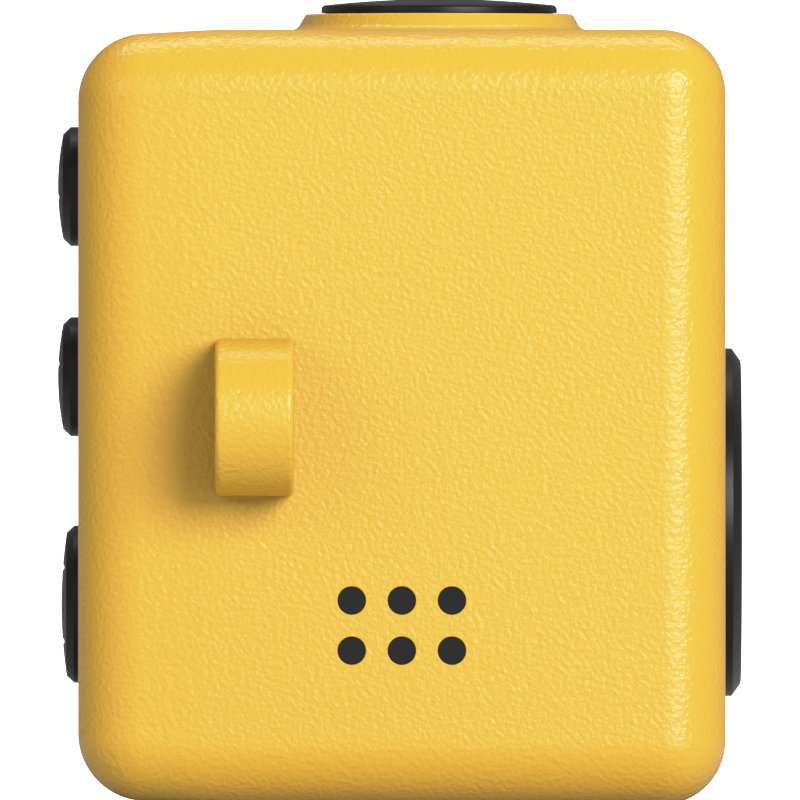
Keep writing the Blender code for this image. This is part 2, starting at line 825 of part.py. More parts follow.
def build_slide_tab():
    """A round-nosed tab that stands out from the front and runs on a stem through the slot."""
    face_y = -HALF_D - SHIM
    nose = arc((0, TAB_STRAIGHT), TAB_RADIUS, 0, 180, MEDIUM)
    outline = [*nose, (-TAB_RADIUS, 0), (TAB_RADIUS, 0)]
    tab = extruded(
        outline,
        lambda u, v, w: (w, face_y - v, MID_Z + u),
        SWITCH_X - TAB_HALF_WIDTH,
        SWITCH_X + TAB_HALF_WIDTH,
    )
    sides = [f for f in tab.faces if len(f.verts) == len(outline)]
    rim = {e for f in sides for e in f.edges if min(v.co.y for v in e.verts) < face_y - SHIM}
    bmesh.ops.bevel(tab, geom=list(rim), offset=TAB_EDGE, segments=3, profile=0.5, affect="EDGES")
    stem = box(
        (SWITCH_X - STEM_HALF[0], face_y - ROOT, MID_Z - STEM_HALF[1]),
        (SWITCH_X + STEM_HALF[0], STEM_END_Y, MID_Z + STEM_HALF[1]),
    )
    seat = (SWITCH_X, STEM_END_Y, MID_Z)
    pilot = pilot_hole(SLIDE_SCREW, seat, (0, -1, 0))
    piece("slide_tab", tab, "case_yellow", "slide_switch", add=([stem],), cut=([pilot],))
    screw("slide_screw", SLIDE_SCREW, seat, (0, -1, 0), "slide_switch")


def build_slide_carriage():
    """The plate on the tab's stem, with three notches for the detent spring."""
    carriage = box(
        (SWITCH_X - CARRIAGE_HALF[0], CARRIAGE_Y[0], MID_Z - CARRIAGE_HALF[1]),
        (SWITCH_X + CARRIAGE_HALF[0], CARRIAGE_Y[1], MID_Z + CARRIAGE_HALF[1]),
    )
    half_x = STEM_HALF[0] + PILOT
    half_z = STEM_HALF[1] + PILOT
    stem_hole = box(
        (SWITCH_X - half_x, CARRIAGE_Y[0] - REACH, MID_Z - half_z),
        (SWITCH_X + half_x, CARRIAGE_Y[1] + REACH, MID_Z + half_z),
    )
    side_x = SWITCH_X + CARRIAGE_HALF[0]
    mouth_x = side_x + NOTCH_DEPTH
    notches = [
        extruded(
            ((side_x - NOTCH_DEPTH, 0), (mouth_x, -NOTCH_HALF), (mouth_x, NOTCH_HALF)),
            lambda u, v, w, place=place: (u, w, MID_Z + place + v),
            CARRIAGE_Y[0] - REACH,
            CARRIAGE_Y[1] + REACH,
        )
        for place in (-SWITCH_TRAVEL, 0, SWITCH_TRAVEL)
    ]
    piece("slide_carriage", carriage, "inner_white", "slide_switch", cut=([stem_hole, *notches],))


def build_slide_track():
    """The frame that guides the carriage, its two screws and the detent spring in its window."""
    track = box(
        (SWITCH_X + TRACK_X[0], TRACK_Y[0], MID_Z - TRACK_HALF_Z),
        (SWITCH_X + TRACK_X[1], TRACK_Y[1], MID_Z + TRACK_HALF_Z),
    )
    half_z = CARRIAGE_HALF[1] + SWITCH_TRAVEL + RUN
    window = box(
        (SWITCH_X + WINDOW_X[0], TRACK_Y[0] - REACH, MID_Z - half_z),
        (SWITCH_X + WINDOW_X[1], TRACK_Y[1] + REACH, MID_Z + half_z),
    )
    holes = [clear_hole(TRACK_SCREW, seat, (0, -1, 0), 2 * REACH) for seat in track_screw_seats()]
    piece("slide_track", track, "inner_white", cut=([window, *holes],))
    for number, seat in enumerate(track_screw_seats(), start=1):
        screw(f"slide_track_screw_{number}", TRACK_SCREW, seat, (0, -1, 0))
    rest_x = SWITCH_X + WINDOW_X[1] - 2 * LEAF_WALL
    nose_x = SWITCH_X + CARRIAGE_HALF[0] - DETENT_NOSE
    path = (
        (-DETENT_HALF, rest_x),
        (-DETENT_NOSE_HALF, rest_x),
        (0, nose_x),
        (DETENT_NOSE_HALF, rest_x),
        (DETENT_HALF, rest_x),
    )
    leaf = extruded(strip(path, LEAF_WALL), lambda u, v, w: (v, w, MID_Z + u), *DETENT_Y)
    piece("slide_detent_spring", leaf, "spring_steel")


# ---------------------------------------------------------------- glide pad


def cap_profile():
    """The cap's stem, its flat underside, its rounded rim, a dome and a slightly raised middle."""
    under = BOSS_TOP + SHIM
    stem = GLIDE_STEM - SLOT_GAP
    stem_low = SQUARE_TOP_Z - REACH / 2
    shoulder = CAP_RADIUS - CAP_EDGE
    rim = arc((shoulder, CAP_SIDE_Z), CAP_EDGE, 0, 90, 3)
    rim_top = rim[-1][1]

    def dome(radius):
        return CAP_TOP - (CAP_TOP - rim_top) * (radius / shoulder) ** 2

    raised = CAP_TOP + CAP_BUTTON_RISE
    return [
        (0, stem_low),
        (stem, stem_low),
        (stem, under),
        (CAP_RADIUS, under),
        *rim,
        (CAP_RADIUS * 2 / 3, dome(CAP_RADIUS * 2 / 3)),
        (CAP_BUTTON_RADIUS + CAP_BUTTON_RISE, dome(CAP_BUTTON_RADIUS)),
        (CAP_BUTTON_RADIUS, raised),
        (0, raised),
    ]


def build_glide_cap():
    cap = turned(cap_profile(), (GLIDE_X, 0, 0), (0, 0, 1), FINE)
    half = GLIDE_STEM
    foot = box((GLIDE_X - half, -half, STEM_FOOT_Z), (GLIDE_X + half, half, SQUARE_TOP_Z))
    seat = (GLIDE_X, 0, RETAINER_Z[0])
    pilot = pilot_hole(GLIDE_SCREW, seat, (0, 0, 1))
    piece("glide_cap", cap, "control_black", "glide_pad", add=([foot],), cut=([pilot],))
    low, high = RETAINER_Z
    bore = GLIDE_SCREW.shank + RUN
    washer = ((bore, low), (RETAINER_RADIUS, low), (RETAINER_RADIUS, high), (bore, high))
    piece("glide_retainer", turned(washer, (GLIDE_X, 0, 0), (0, 0, 1)), "steel", "glide_pad")
    screw("glide_screw", GLIDE_SCREW, seat, (0, 0, 1), "glide_pad")


def build_cross_slider():
    """The plate that lets the pad run along Y while it runs along X itself."""
    slider = box(
        (GLIDE_X - SLIDER_HALF[0], -SLIDER_HALF[1], SLIDER_Z[0]),
        (GLIDE_X + SLIDER_HALF[0], SLIDER_HALF[1], SLIDER_Z[1]),
    )
    half_x = GLIDE_STEM + SHIM
    half_y = GLIDE_STEM + GLIDE_TRAVEL + SLOT_GAP
    window = box(
        (GLIDE_X - half_x, -half_y, SLIDER_Z[0] - REACH),
        (GLIDE_X + half_x, half_y, SLIDER_Z[1] + REACH),
    )
    piece("glide_cross_slider", slider, "inner_white", "glide_carriage", cut=([window],))


def build_glide_housing():
    """The frame under the roof with a pocket for the slider, its screws and the centring ring."""
    frame = box(
        (GLIDE_X - FRAME_HALF[0], -FRAME_HALF[1], FRAME_Z[0]),
        (GLIDE_X + FRAME_HALF[0], FRAME_HALF[1], FRAME_Z[1]),
    )
    pocket = box(
        (GLIDE_X - POCKET_HALF[0], -POCKET_HALF[1], POCKET_FLOOR_Z),
        (GLIDE_X + POCKET_HALF[0], POCKET_HALF[1], FRAME_Z[1] + REACH),
    )
    floor_hole = rod((GLIDE_X, 0, FRAME_Z[0] - REACH), (GLIDE_X, 0, POCKET_FLOOR_Z + ROOT), FLOOR_HOLE)
    wide = FRAME_SCREW.head + RUN
    narrow = FRAME_SCREW.shank + RUN
    tall = FRAME_Z[1] - FRAME_Z[0]
    profile = ((0, -2 * REACH), (wide, -2 * REACH), (wide, 0), (narrow, 0), (narrow, tall), (0, tall))
    wells = [turned(profile, seat, (0, 0, 1), SMALL) for seat in frame_screw_seats()]
    piece("glide_housing", frame, "inner_white", cut=([pocket], [floor_hole, *wells]))
    for number, seat in enumerate(frame_screw_seats(), start=1):
        screw(f"glide_housing_screw_{number}", FRAME_SCREW, seat, (0, 0, 1))
    inner, outer = RING_RADII
    low, high = RING_Z
    ring = ((inner, low), (outer, low), (outer, high), (inner, high))
    piece("glide_centring_ring", turned(ring, (GLIDE_X, 0, 0), (0, 0, 1)), "soft_rubber")


# ---------------------------------------------------------------- dial


def build_dial_disc():
    """The dial with its hub, square drive and finger dimple. Profile heights run outwards from the face."""
    floor = RUN - RECESS_DEPTH
    chamfer_r, chamfer_x = DIAL_CHAMFER
    hub_low = HUB_END_X - HALF_W
    profile = (
        (0, hub_low),
        (HUB_RADIUS, hub_low),
        (HUB_RADIUS, floor),
        (DIAL_RADIUS, floor),
        (DIAL_RADIUS, DIAL_PROUD - chamfer_x),
        (DIAL_RADIUS - chamfer_r, DIAL_PROUD),
        (0, DIAL_PROUD),
    )
    disc = turned(profile, (HALF_W, 0, DIAL_Z), (1, 0, 0), FINE)
    drive = box(
        (DRIVE_END_X, -DRIVE_HALF, DIAL_Z - DRIVE_HALF),
        (HUB_END_X + ROOT, DRIVE_HALF, DIAL_Z + DRIVE_HALF),
    )
    centre = (HALF_W + DIAL_PROUD - DIMPLE_DEPTH + DIMPLE_RADIUS, 0, DIAL_Z + DIMPLE_OFFSET)
    dimple = ball_shape(centre, DIMPLE_RADIUS, MEDIUM, COARSE)
    seat = (DRIVE_END_X, 0, DIAL_Z)
    pilot = pilot_hole(DIAL_SCREW, seat, (1, 0, 0))
    piece("dial", disc, "control_black", "dial", add=([drive],), cut=([pilot, dimple],))
    screw("dial_screw", DIAL_SCREW, seat, (1, 0, 0), "dial")


def build_detent_wheel():
    wheel = extruded(
        waved_circle(SCALLOP_RADIUS, SCALLOP_DEPTH, SCALLOPS),
        lambda u, v, w: (w, u, DIAL_Z + v),
        DRIVE_END_X + PIP_SUNK,
        HUB_END_X - SLOT_GAP,
    )
    half = DRIVE_HALF + PILOT
    hole = box((DRIVE_END_X - REACH, -half, DIAL_Z - half), (HUB_END_X + REACH, half, DIAL_Z + half))
    piece("dial_detent_wheel", wheel, "inner_white", "dial", cut=([hole],))


def build_detent_leaf():
    """A leaf spring on its post, whose bent tip rests in the wheel's top valley."""
    tip_z = DIAL_Z + SCALLOP_RADIUS - SCALLOP_DEPTH + RUN
    base_z = LEAF_POST_Z[1] + SHIM
    half_tip, rise = LEAF_TIP
    path = (
        (LEAF_ENDS_Y[0], base_z),
        (LEAF_ENDS_Y[1], base_z),
        (-half_tip, tip_z + rise),
        (0.0, tip_z),
        (half_tip, tip_z + rise),
    )
    leaf = extruded(
        strip(path, LEAF_WALL),
        lambda u, v, w: (w, u, v),
        LEAF_X - LEAF_HALF_WIDTH,
        LEAF_X + LEAF_HALF_WIDTH,
    )
    seat = leaf_screw_seat()
    hole = clear_hole(LEAF_SCREW, seat, (0, 0, -1), REACH)
    piece("dial_detent_leaf", leaf, "spring_steel", cut=([hole],))
    screw("dial_leaf_screw", LEAF_SCREW, seat, (0, 0, -1))


# ---------------------------------------------------------------- rollers


def build_rollers():
    outline = waved_circle(ROLLER_RADIUS - RIDGE_DEPTH / 2, -RIDGE_DEPTH / 2, ROLLER_RIDGES)
    for name, x in ROLLERS.items():
        wheel = extruded(
            outline,
            lambda u, v, w: (w, ROLLER_Y + u, ROLLER_Z + v),
            x - ROLLER_WIDTH / 2,
            x + ROLLER_WIDTH / 2,
        )
        bore = across_rod(x - ROLLER_WIDTH, x + ROLLER_WIDTH, AXLE_RADIUS + PILOT)
        piece(name, wheel, "control_black", name, cut=([bore],))
    piece("roller_axle", across_rod(-ARM_X[1], ARM_X[1], AXLE_RADIUS, COARSE), "steel")


def build_roller_bracket():
    """A fork that carries the axle, screwed to the cover through its two flanges."""
    low_z = ROLLER_Z - ARM_HALF_Z
    high_z = ROLLER_Z + ARM_HALF_Z
    block = box((-ARM_X[1], BRACKET_Y[0], low_z), (ARM_X[1], FLANGE_Y[1], high_z))
    gap = box((-ARM_X[0], BRACKET_Y[1], low_z - REACH), (ARM_X[0], FLANGE_Y[1] + REACH, high_z + REACH))
    flanges = [side_box(side, FLANGE_X, FLANGE_Y, (low_z, high_z)) for side in (-1, 1)]
    bore = across_rod(-FLANGE_X[1], FLANGE_X[1], AXLE_RADIUS + PILOT)
    holes = [clear_hole(BACK_SCREW, seat, (0, 1, 0), 2 * REACH) for seat in bracket_screw_seats()]
    piece("roller_bracket", block, "inner_white", add=(flanges,), cut=([gap], [bore], holes))
    for number, seat in enumerate(bracket_screw_seats(), start=1):
        screw(f"roller_bracket_screw_{number}", BACK_SCREW, seat, (0, 1, 0))


# ---------------------------------------------------------------- ball


def build_ball_cup():
    """A cup whose bowl holds the ball from behind and slides in the ball housing."""
    bowl_radius = BALL_RADIUS + RUN
    mouth = math.degrees(math.asin(CUP_MOUTH / bowl_radius))
    bowl = [(r, BALL_Y + h) for r, h in arc((0, 0), bowl_radius, -90, -mouth, 6)]
    bowl[0] = (0, BALL_Y - bowl_radius)
    rim_y = bowl[-1][1]
    profile = [*bowl, (CUP_RADIUS, rim_y), (CUP_RADIUS, CUP_LOW_Y), (0, CUP_LOW_Y)]
    piece("ball_cup", turned(profile, (0, 0, BALL_Z), (0, 1, 0)), "inner_white", "ball_plunger")


def build_ball_housing():
    """A round tube with a floor for the spring and an ear on each side."""
    low_y, top_y = TUBE_Y
    bore = CUP_RADIUS + RUN
    profile = (
        (0, low_y),
        (TUBE_RADIUS, low_y),
        (TUBE_RADIUS, top_y),
        (bore, top_y),
        (bore, TUBE_FLOOR_Y),
        (0, TUBE_FLOOR_Y),
    )
    tube = turned(profile, (0, 0, BALL_Z), (0, 1, 0))
    z_span = (BALL_Z - EAR_HALF_Z, BALL_Z + EAR_HALF_Z)
    ears = [side_box(side, EAR_X, (EAR_LOW_Y, top_y), z_span) for side in (-1, 1)]
    holes = [clear_hole(BACK_SCREW, seat, (0, 1, 0), 2 * REACH) for seat in ball_screw_seats()]
    piece("ball_housing", tube, "inner_white", add=(ears,), cut=(holes,))
    for number, seat in enumerate(ball_screw_seats(), start=1):
        screw(f"ball_housing_screw_{number}", BACK_SCREW, seat, (0, 1, 0))


def build_ball():
    piece("ball", ball_shape((0, BALL_Y, BALL_Z), BALL_RADIUS, MEDIUM, COARSE), "steel", "ball")
    spring_length = CUP_LOW_Y - TUBE_FLOOR_Y - 2 * SPRING_GAP
    spring = coil((0, TUBE_FLOOR_Y + SPRING_GAP, BALL_Z), (0, 1, 0), BALL_SPRING_RADIUS, spring_length)
    piece("ball_spring", spring, "spring_steel")


clear_scene()
make_bodies()
build_front_housing()
build_rear_cover()
build_case_screws()
build_pip_insert()
build_click_side()
build_slide_tab()
build_slide_carriage()
build_slide_track()
build_glide_cap()
build_cross_slider()
build_glide_housing()
build_dial_disc()
build_detent_wheel()
build_detent_leaf()
build_rollers()
build_roller_bracket()
build_ball_cup()
build_ball_housing()
build_ball()
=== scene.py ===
"""The looks of the fidget cube: fine moulded shells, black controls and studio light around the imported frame.

Shapes are drawn in millimetres in the frame's own axes and scaled to metres when their objects are made.
"""

import json
import math

import bmesh
import bpy
from mathutils import Matrix, Vector


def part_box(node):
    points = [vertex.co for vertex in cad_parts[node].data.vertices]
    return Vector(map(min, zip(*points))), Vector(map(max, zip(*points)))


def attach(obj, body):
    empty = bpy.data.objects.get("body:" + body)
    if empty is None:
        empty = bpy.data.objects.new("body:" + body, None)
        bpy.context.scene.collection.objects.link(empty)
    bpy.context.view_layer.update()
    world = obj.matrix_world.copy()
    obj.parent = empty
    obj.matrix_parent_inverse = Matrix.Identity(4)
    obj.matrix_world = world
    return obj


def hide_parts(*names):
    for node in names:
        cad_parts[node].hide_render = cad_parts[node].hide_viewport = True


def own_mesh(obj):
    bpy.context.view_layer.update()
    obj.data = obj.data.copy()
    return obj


MM = 0.001

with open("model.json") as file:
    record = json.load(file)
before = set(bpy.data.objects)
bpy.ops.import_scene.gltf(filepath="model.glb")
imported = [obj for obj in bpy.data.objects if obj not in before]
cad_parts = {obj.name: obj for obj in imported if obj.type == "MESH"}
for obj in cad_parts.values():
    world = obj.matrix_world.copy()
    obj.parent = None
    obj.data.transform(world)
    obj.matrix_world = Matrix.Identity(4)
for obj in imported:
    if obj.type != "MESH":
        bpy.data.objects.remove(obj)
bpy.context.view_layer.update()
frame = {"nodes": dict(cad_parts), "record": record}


def node_box(name):
    """A CAD node's lowest and highest corner, in millimetres."""
    low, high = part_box(name)
    return low / MM, high / MM


def middle(name):
    low, high = node_box(name)
    return (low + high) / 2


# ---------------------------------------------------------------- driving sizes, in millimetres

TUB_LOW, TUB_HIGH = node_box("front_housing")
COVER_LOW, COVER_HIGH = node_box("rear_cover")
LEFT = TUB_LOW.x
RIGHT = TUB_HIGH.x
FRONT = TUB_LOW.y
BACK = COVER_HIGH.y
TOP = COVER_HIGH.z
BOSS_TOP = TUB_HIGH.z
MID_Y = (FRONT + BACK) / 2

EDGE_RADIUS = 3.25
EDGE_STEPS = 18
TAPER_LENGTH = 6.84
TAPER = 0.37
WALL = 1.8
BASE_WALL = 3.0
COVER_LIP = 1.1
LIP_ROUND = 0.16
RUN = 0.12
SHIM = 0.06
REACH = 1.0

ROUND = 128
HALF_ROUND = 64

BOSS_TOP_RADIUS = 6.94
BOSS_SKIRT_RADIUS = 8.2
BOSS_FOOT = (7.62, 0.68)
BOSS_FILLET = 0.55
BOSS_EDGE = 0.2
CAP_EDGE = 0.22
CAP_DISC_RADIUS = 2.2
CAP_DISC_RISE = 0.08
CAP_SIDE = 0.25
CAP_STEPS = 16
CAP_STEM_RADIUS = 1.4
CAP_STEM_LENGTH = 3.0
CAP_STEM_HOLE = 2.6
FLANGE_OVER = 0.85
FLANGE_GAP = 0.1
FLANGE_WALL = 0.6
BUTTON_STEM_RADIUS = 1.0
BUTTON_STEPS = 16
BUTTON_DOME = 0.27
BUTTON_CHAMFER = 0.37
GROOVE_HALF_WIDTH = 0.17
TAB_EDGE = 0.28
TAB_STEM_HALF = (0.9, 1.0)
TAB_SLOT_HALF = (1.0, 2.5)
ROOT = 0.5
PAD_RADIUS = 6.05
PIP_PITCH = 2.55
PIP_RADIUS = 0.69
PIP_RUN = 0.03
PIP_LIP = 0.04
PIP_ROOT = 0.4
RECESS_DEPTH = 0.7
DIAL_HUB_RADIUS = 2.5
DIAL_HUB_HOLE = 2.62
DIAL_HUB_DEPTH = 2.0
DIMPLE_RADIUS = 4.2
DIMPLE_OFFSET = 4.7
DIMPLE_DEPTH = 0.8
ROLLER_GAP = 0.15
ROLLER_BORE = 0.85
RIDGES = 18
RIDGE_STEPS = 14
RIDGE_DEPTH = 0.22
COUNTERBORE = 1.5
DISH_RADII = (10.6, 8.3, 2.8)
DISH_CENTRE_Z = -1.5
BALL_OPENING = 3.0
BALL_SEAT = 3.35
BALL_LIP = 0.3
BALL_EDGE = 0.1
WIRE = 0.15
COIL_TURNS = 3
COIL_STEPS = 36
WIRE_SIDES = 12
BUTTON_SPRING_RADIUS = 2.0
BALL_SPRING_RADIUS = 2.6
DOME_SKIRT = 0.1

# Each button's grooves, by their height from its middle, and how deep they are.
GROOVES = {"upper": ((-0.56,), 0.06), "middle": ((0.66,), 0.06), "lower": ((-1.9, 1.9), 0.09)}
ROLLERS = ("roller_left", "roller_centre", "roller_right")


# ---------------------------------------------------------------- shape kit


def box(low, high):
    shape = bmesh.new()
    bmesh.ops.create_cube(shape, size=1.0)
    size = Vector(high) - Vector(low)
    centre = (Vector(high) + Vector(low)) / 2
    grow = Matrix.Translation(centre) @ Matrix.Diagonal((*size, 1.0))
    bmesh.ops.transform(shape, matrix=grow, verts=shape.verts)
    return shape


def arc(centre, radius, start, end, steps):
    """Points on a circle, angles in degrees."""
    angles = [math.radians(start + (end - start) * i / steps) for i in range(steps + 1)]
    return [(centre[0] + radius * math.cos(a), centre[1] + radius * math.sin(a)) for a in angles]


def turned(profile, centre, axis, segments=ROUND):
    """Turns (radius, height) points about an axis. A profile that starts off the axis closes on itself."""
    shape = bmesh.new()
    rings = []
    for radius, height in profile:
        if radius == 0:
            rings.append([shape.verts.new((0, 0, height))] * segments)
            continue
        angles = [2 * math.pi * i / segments for i in range(segments)]
        rings.append([shape.verts.new((radius * math.cos(a), radius * math.sin(a), height)) for a in angles])
    pairs = list(zip(rings, rings[1:]))
    if profile[0][0] > 0:
        pairs.append((rings[-1], rings[0]))
    for first, second in pairs:
        for i in range(segments):
            j = (i + 1) % segments
            corners = dict.fromkeys((first[i], first[j], second[j], second[i]))
            if len(corners) > 2:
                shape.faces.new(corners)
    bmesh.ops.recalc_face_normals(shape, faces=shape.faces)
    turn = Vector((0, 0, 1)).rotation_difference(Vector(axis)).to_matrix().to_4x4()
    bmesh.ops.transform(shape, matrix=Matrix.Translation(centre) @ turn, verts=shape.verts)
    return shape


def rod(start, end, radius, segments=HALF_ROUND):
    along = Vector(end) - Vector(start)
    profile = ((0, 0), (radius, 0), (radius, along.length), (0, along.length))
    return turned(profile, start, along, segments)


def lipped_rod(mouth, inward, radius, depth, lip=LIP_ROUND, segments=HALF_ROUND):
    """A cutter for a round hole whose rim is rounded over by lip."""
    rim = [(r, -h) for r, h in arc((radius + lip, lip), lip, 180, 270, 5)]
    profile = [(0, -depth), (radius, -depth), *rim, (radius + lip, REACH), (0, REACH)]
    return turned(profile, mouth, -Vector(inward), segments)


def extruded(outline, to_point, low, high):
    """Pushes a flat outline of (u, v) points from low to high; to_point(u, v, w) places it."""
    shape = bmesh.new()
    first = [shape.verts.new(to_point(u, v, low)) for u, v in outline]
    second = [shape.verts.new(to_point(u, v, high)) for u, v in outline]
    shape.faces.new(first)
    shape.faces.new(reversed(second))
    for i in range(len(outline)):
        j = (i + 1) % len(outline)
        shape.faces.new((first[j], first[i], second[i], second[j]))
    bmesh.ops.recalc_face_normals(shape, faces=shape.faces)
    return shape


def gather(shapes):
    """Puts separate closed shapes into one mesh, to be used as one tool."""
    whole = bmesh.new()
    for shape in shapes:
        mesh = bpy.data.meshes.new("tool_part")
        shape.to_mesh(mesh)
        shape.free()
        whole.from_mesh(mesh)
        bpy.data.meshes.remove(mesh)
    return whole


def object_from(name, shape):
    """An object whose mesh is still in millimetres, where the solvers work best."""
    mesh = bpy.data.meshes.new(name)
    shape.to_mesh(mesh)
    shape.free()
    obj = bpy.data.objects.new(name, mesh)
    bpy.context.scene.collection.objects.link(obj)
    return obj


def settle(obj):
    """Applies an object's modifiers to its mesh and removes the tools they used."""
    graph = bpy.context.evaluated_depsgraph_get()
    graph.update()
    mesh = bpy.data.meshes.new_from_object(obj.evaluated_get(graph), depsgraph=graph)
    tools = [m.object for m in obj.modifiers if m.type == "BOOLEAN"]
    obj.modifiers.clear()
    obj.data = mesh
    for tool in tools:
        bpy.data.objects.remove(tool)


def shrink(obj):
    """Brings a mesh drawn in millimetres down to metres."""
    obj.data.transform(Matrix.Scale(MM, 4))


def shade(obj, sharp_angle=30.0, crease=None):
    """Smooth shading with sharp edges by angle, and along the plane x = crease where the taper starts."""
    shape = bmesh.new()
    shape.from_mesh(obj.data)
    limit = math.radians(sharp_angle)
    for face in shape.faces:
        face.smooth = True
    for edge in shape.edges:
        flat = len(edge.link_faces) == 2 and edge.calc_face_angle(0.0) < limit
        on_crease = crease is not None and all(abs(v.co.x / MM - crease) < 0.01 for v in edge.verts)
        edge.smooth = flat and not on_crease
    shape.to_mesh(obj.data)
    shape.free()
    weighted = obj.modifiers.new("WeightedNormal", "WEIGHTED_NORMAL")
    weighted.keep_sharp = True
    weighted.weight = 100


def build(name, shape, finish, body, node=None, add=(), cut=(), sharp_angle=30.0, crease=None):
    """Makes a shown piece: joins the groups in add, takes away those in cut, and hangs it on its body."""
    obj = object_from(name, shape)
    for operation, groups in (("UNION", add), ("DIFFERENCE", cut)):
        for number, group in enumerate(groups):
            tool = object_from(f"tool_{name}_{operation}_{number}", gather(group))
            modifier = obj.modifiers.new(operation, "BOOLEAN")
            modifier.operation = operation
            modifier.solver = "MANIFOLD"
            modifier.object = tool
    settle(obj)
    shrink(obj)
    obj.data.materials.clear()
    obj.data.materials.append(finish)
    shade(obj, sharp_angle, crease)
    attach(obj, body)
    if node:
        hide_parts(node)
    return obj


# ---------------------------------------------------------------- materials


class Nodes:
    """A small helper around one material's node tree."""

    def __init__(self, name):
        self.material = bpy.data.materials.new(name)
        self.material.use_nodes = True
        self.tree = self.material.node_tree
        self.shader = self.tree.nodes["Principled BSDF"]

    def add(self, kind):
        return self.tree.nodes.new(kind)

    def link(self, source, target):
        self.tree.links.new(source, target)

    def coordinates(self, scale=1):
        """Object coordinates in millimetres, times scale."""
        texture = self.add("ShaderNodeTexCoord")
        mapping = self.add("ShaderNodeMapping")
        mapping.inputs["Scale"].default_value = [scale / MM] * 3
        self.link(texture.outputs["Object"], mapping.inputs["Vector"])
        return mapping.outputs["Vector"]

    def noise(self, vector, scale, detail=2.0):
        node = self.add("ShaderNodeTexNoise")
        node.inputs["Scale"].default_value = scale
        node.inputs["Detail"].default_value = detail
        self.link(vector, node.inputs["Vector"])
        return node.outputs["Fac"]

    def spread(self, source, low, high, start=0.0, end=1.0):
        """Maps start..end to low..high."""
        node = self.add("ShaderNodeMapRange")
        node.inputs["From Min"].default_value = start
        node.inputs["From Max"].default_value = end
        node.inputs["To Min"].default_value = low
        node.inputs["To Max"].default_value = high
        self.link(source, node.inputs["Value"])
        return node.outputs["Result"]

    def mix(self, factor, first, second):
        node = self.add("ShaderNodeMix")
        node.data_type = "RGBA"
        for socket, value in ((node.inputs[0], factor), (node.inputs[6], first), (node.inputs[7], second)):
            if hasattr(value, "is_linked"):
                self.link(value, socket)
            elif isinstance(value, tuple):
                socket.default_value = (*value, 1.0)
            else:
                socket.default_value = value
        return node.outputs[2]

    def math(self, operation, first, second=0.0):
        node = self.add("ShaderNodeMath")
        node.operation = operation
        for socket, value in ((node.inputs[0], first), (node.inputs[1], second)):
            if hasattr(value, "is_linked"):
                self.link(value, socket)
            else:
                socket.default_value = value
        return node.outputs[0]

    def bump(self, height, distance, strength=None):
        """Distance is the relief's full height in millimetres. Strength is a socket that scales it."""
        node = self.add("ShaderNodeBump")
        node.inputs["Strength"].default_value = 1.0
        node.inputs["Distance"].default_value = distance * MM
        self.link(height, node.inputs["Height"])
        if strength is not None:
            self.link(strength, node.inputs["Strength"])
        return node.outputs["Normal"]

    def flatness(self):
        """1 on faces square to an axis and 0 on the rounded edges between them."""
        geometry = self.add("ShaderNodeNewGeometry")
        size = self.add("ShaderNodeVectorMath")
        size.operation = "ABSOLUTE"
        self.link(geometry.outputs["Normal"], size.inputs[0])
        parts = self.add("ShaderNodeSeparateXYZ")
        self.link(size.outputs["Vector"], parts.inputs["Vector"])
        flat = self.math("MAXIMUM", parts.outputs["X"], parts.outputs["Y"])
        most = self.math("MAXIMUM", flat, parts.outputs["Z"])
        return self.spread(most, 0.0, 1.0, start=0.92, end=0.993)

    def finish(self, colour=None, roughness=None, normal=None, **values):
        for name, value in (("Base Color", colour), ("Roughness", roughness), ("Normal", normal)):
            if value is None:
                continue
            if hasattr(value, "is_linked"):
                self.link(value, self.shader.inputs[name])
            elif isinstance(value, tuple):
                self.shader.inputs[name].default_value = (*value, 1.0)
            else:
                self.shader.inputs[name].default_value = value
        for key, value in values.items():
            self.shader.inputs[key.replace("_", " ").title()].default_value = value
        return self.material


def yellow_plastic():
    """Satin yellow moulding with a fine grain. It is glossier on the rounded edges than on the flats.

    Light that it passes on to its neighbours comes from a darker yellow, so that shadowed sides stay deep.
    """
    n = Nodes("case_yellow_moulded")
    vector = n.coordinates()
    grain = n.noise(vector, 3.7, detail=1.0)
    flat = n.flatness()
    normal = n.bump(grain, 0.072, strength=n.spread(flat, 0.7, 0.74))
    wide = n.noise(vector, 0.09, detail=2.0)
    moulded = n.mix(wide, (0.948, 0.536, 0.046), (0.958, 0.548, 0.052))
    bounced = n.add("ShaderNodeLightPath").outputs["Is Diffuse Ray"]
    colour = n.mix(bounced, moulded, (0.15, 0.085, 0.012))
    roughness = n.math("ADD", n.spread(flat, 0.22, 0.36), n.spread(grain, 0.0, 0.06))
    n.shader.inputs["Specular IOR Level"].default_value = 0.62
    return n.finish(colour, roughness, normal)


def black_plastic(name="control_black_moulded", tone=0.005, low=0.34, high=0.46):
    n = Nodes(name)
    vector = n.coordinates()
    grain = n.noise(vector, 9.0, detail=3.0)
    wear = n.noise(vector, 0.5, detail=3.0)
    colour = n.mix(wear, (tone, tone, tone * 1.02), (tone * 1.3, tone * 1.3, tone * 1.35))
    normal = n.bump(grain, 0.004)
    n.shader.inputs["Specular IOR Level"].default_value = 0.36
    return n.finish(colour, n.spread(wear, low, high), normal)


def white_plastic():
    n = Nodes("inner_white_moulded")
    vector = n.coordinates()
    haze = n.noise(vector, 0.35, detail=3.0)
    grain = n.noise(vector, 6.0)
    colour = n.mix(haze, (0.70, 0.70, 0.68), (0.78, 0.78, 0.76))
    return n.finish(colour, n.spread(haze, 0.42, 0.55), n.bump(grain, 0.006))


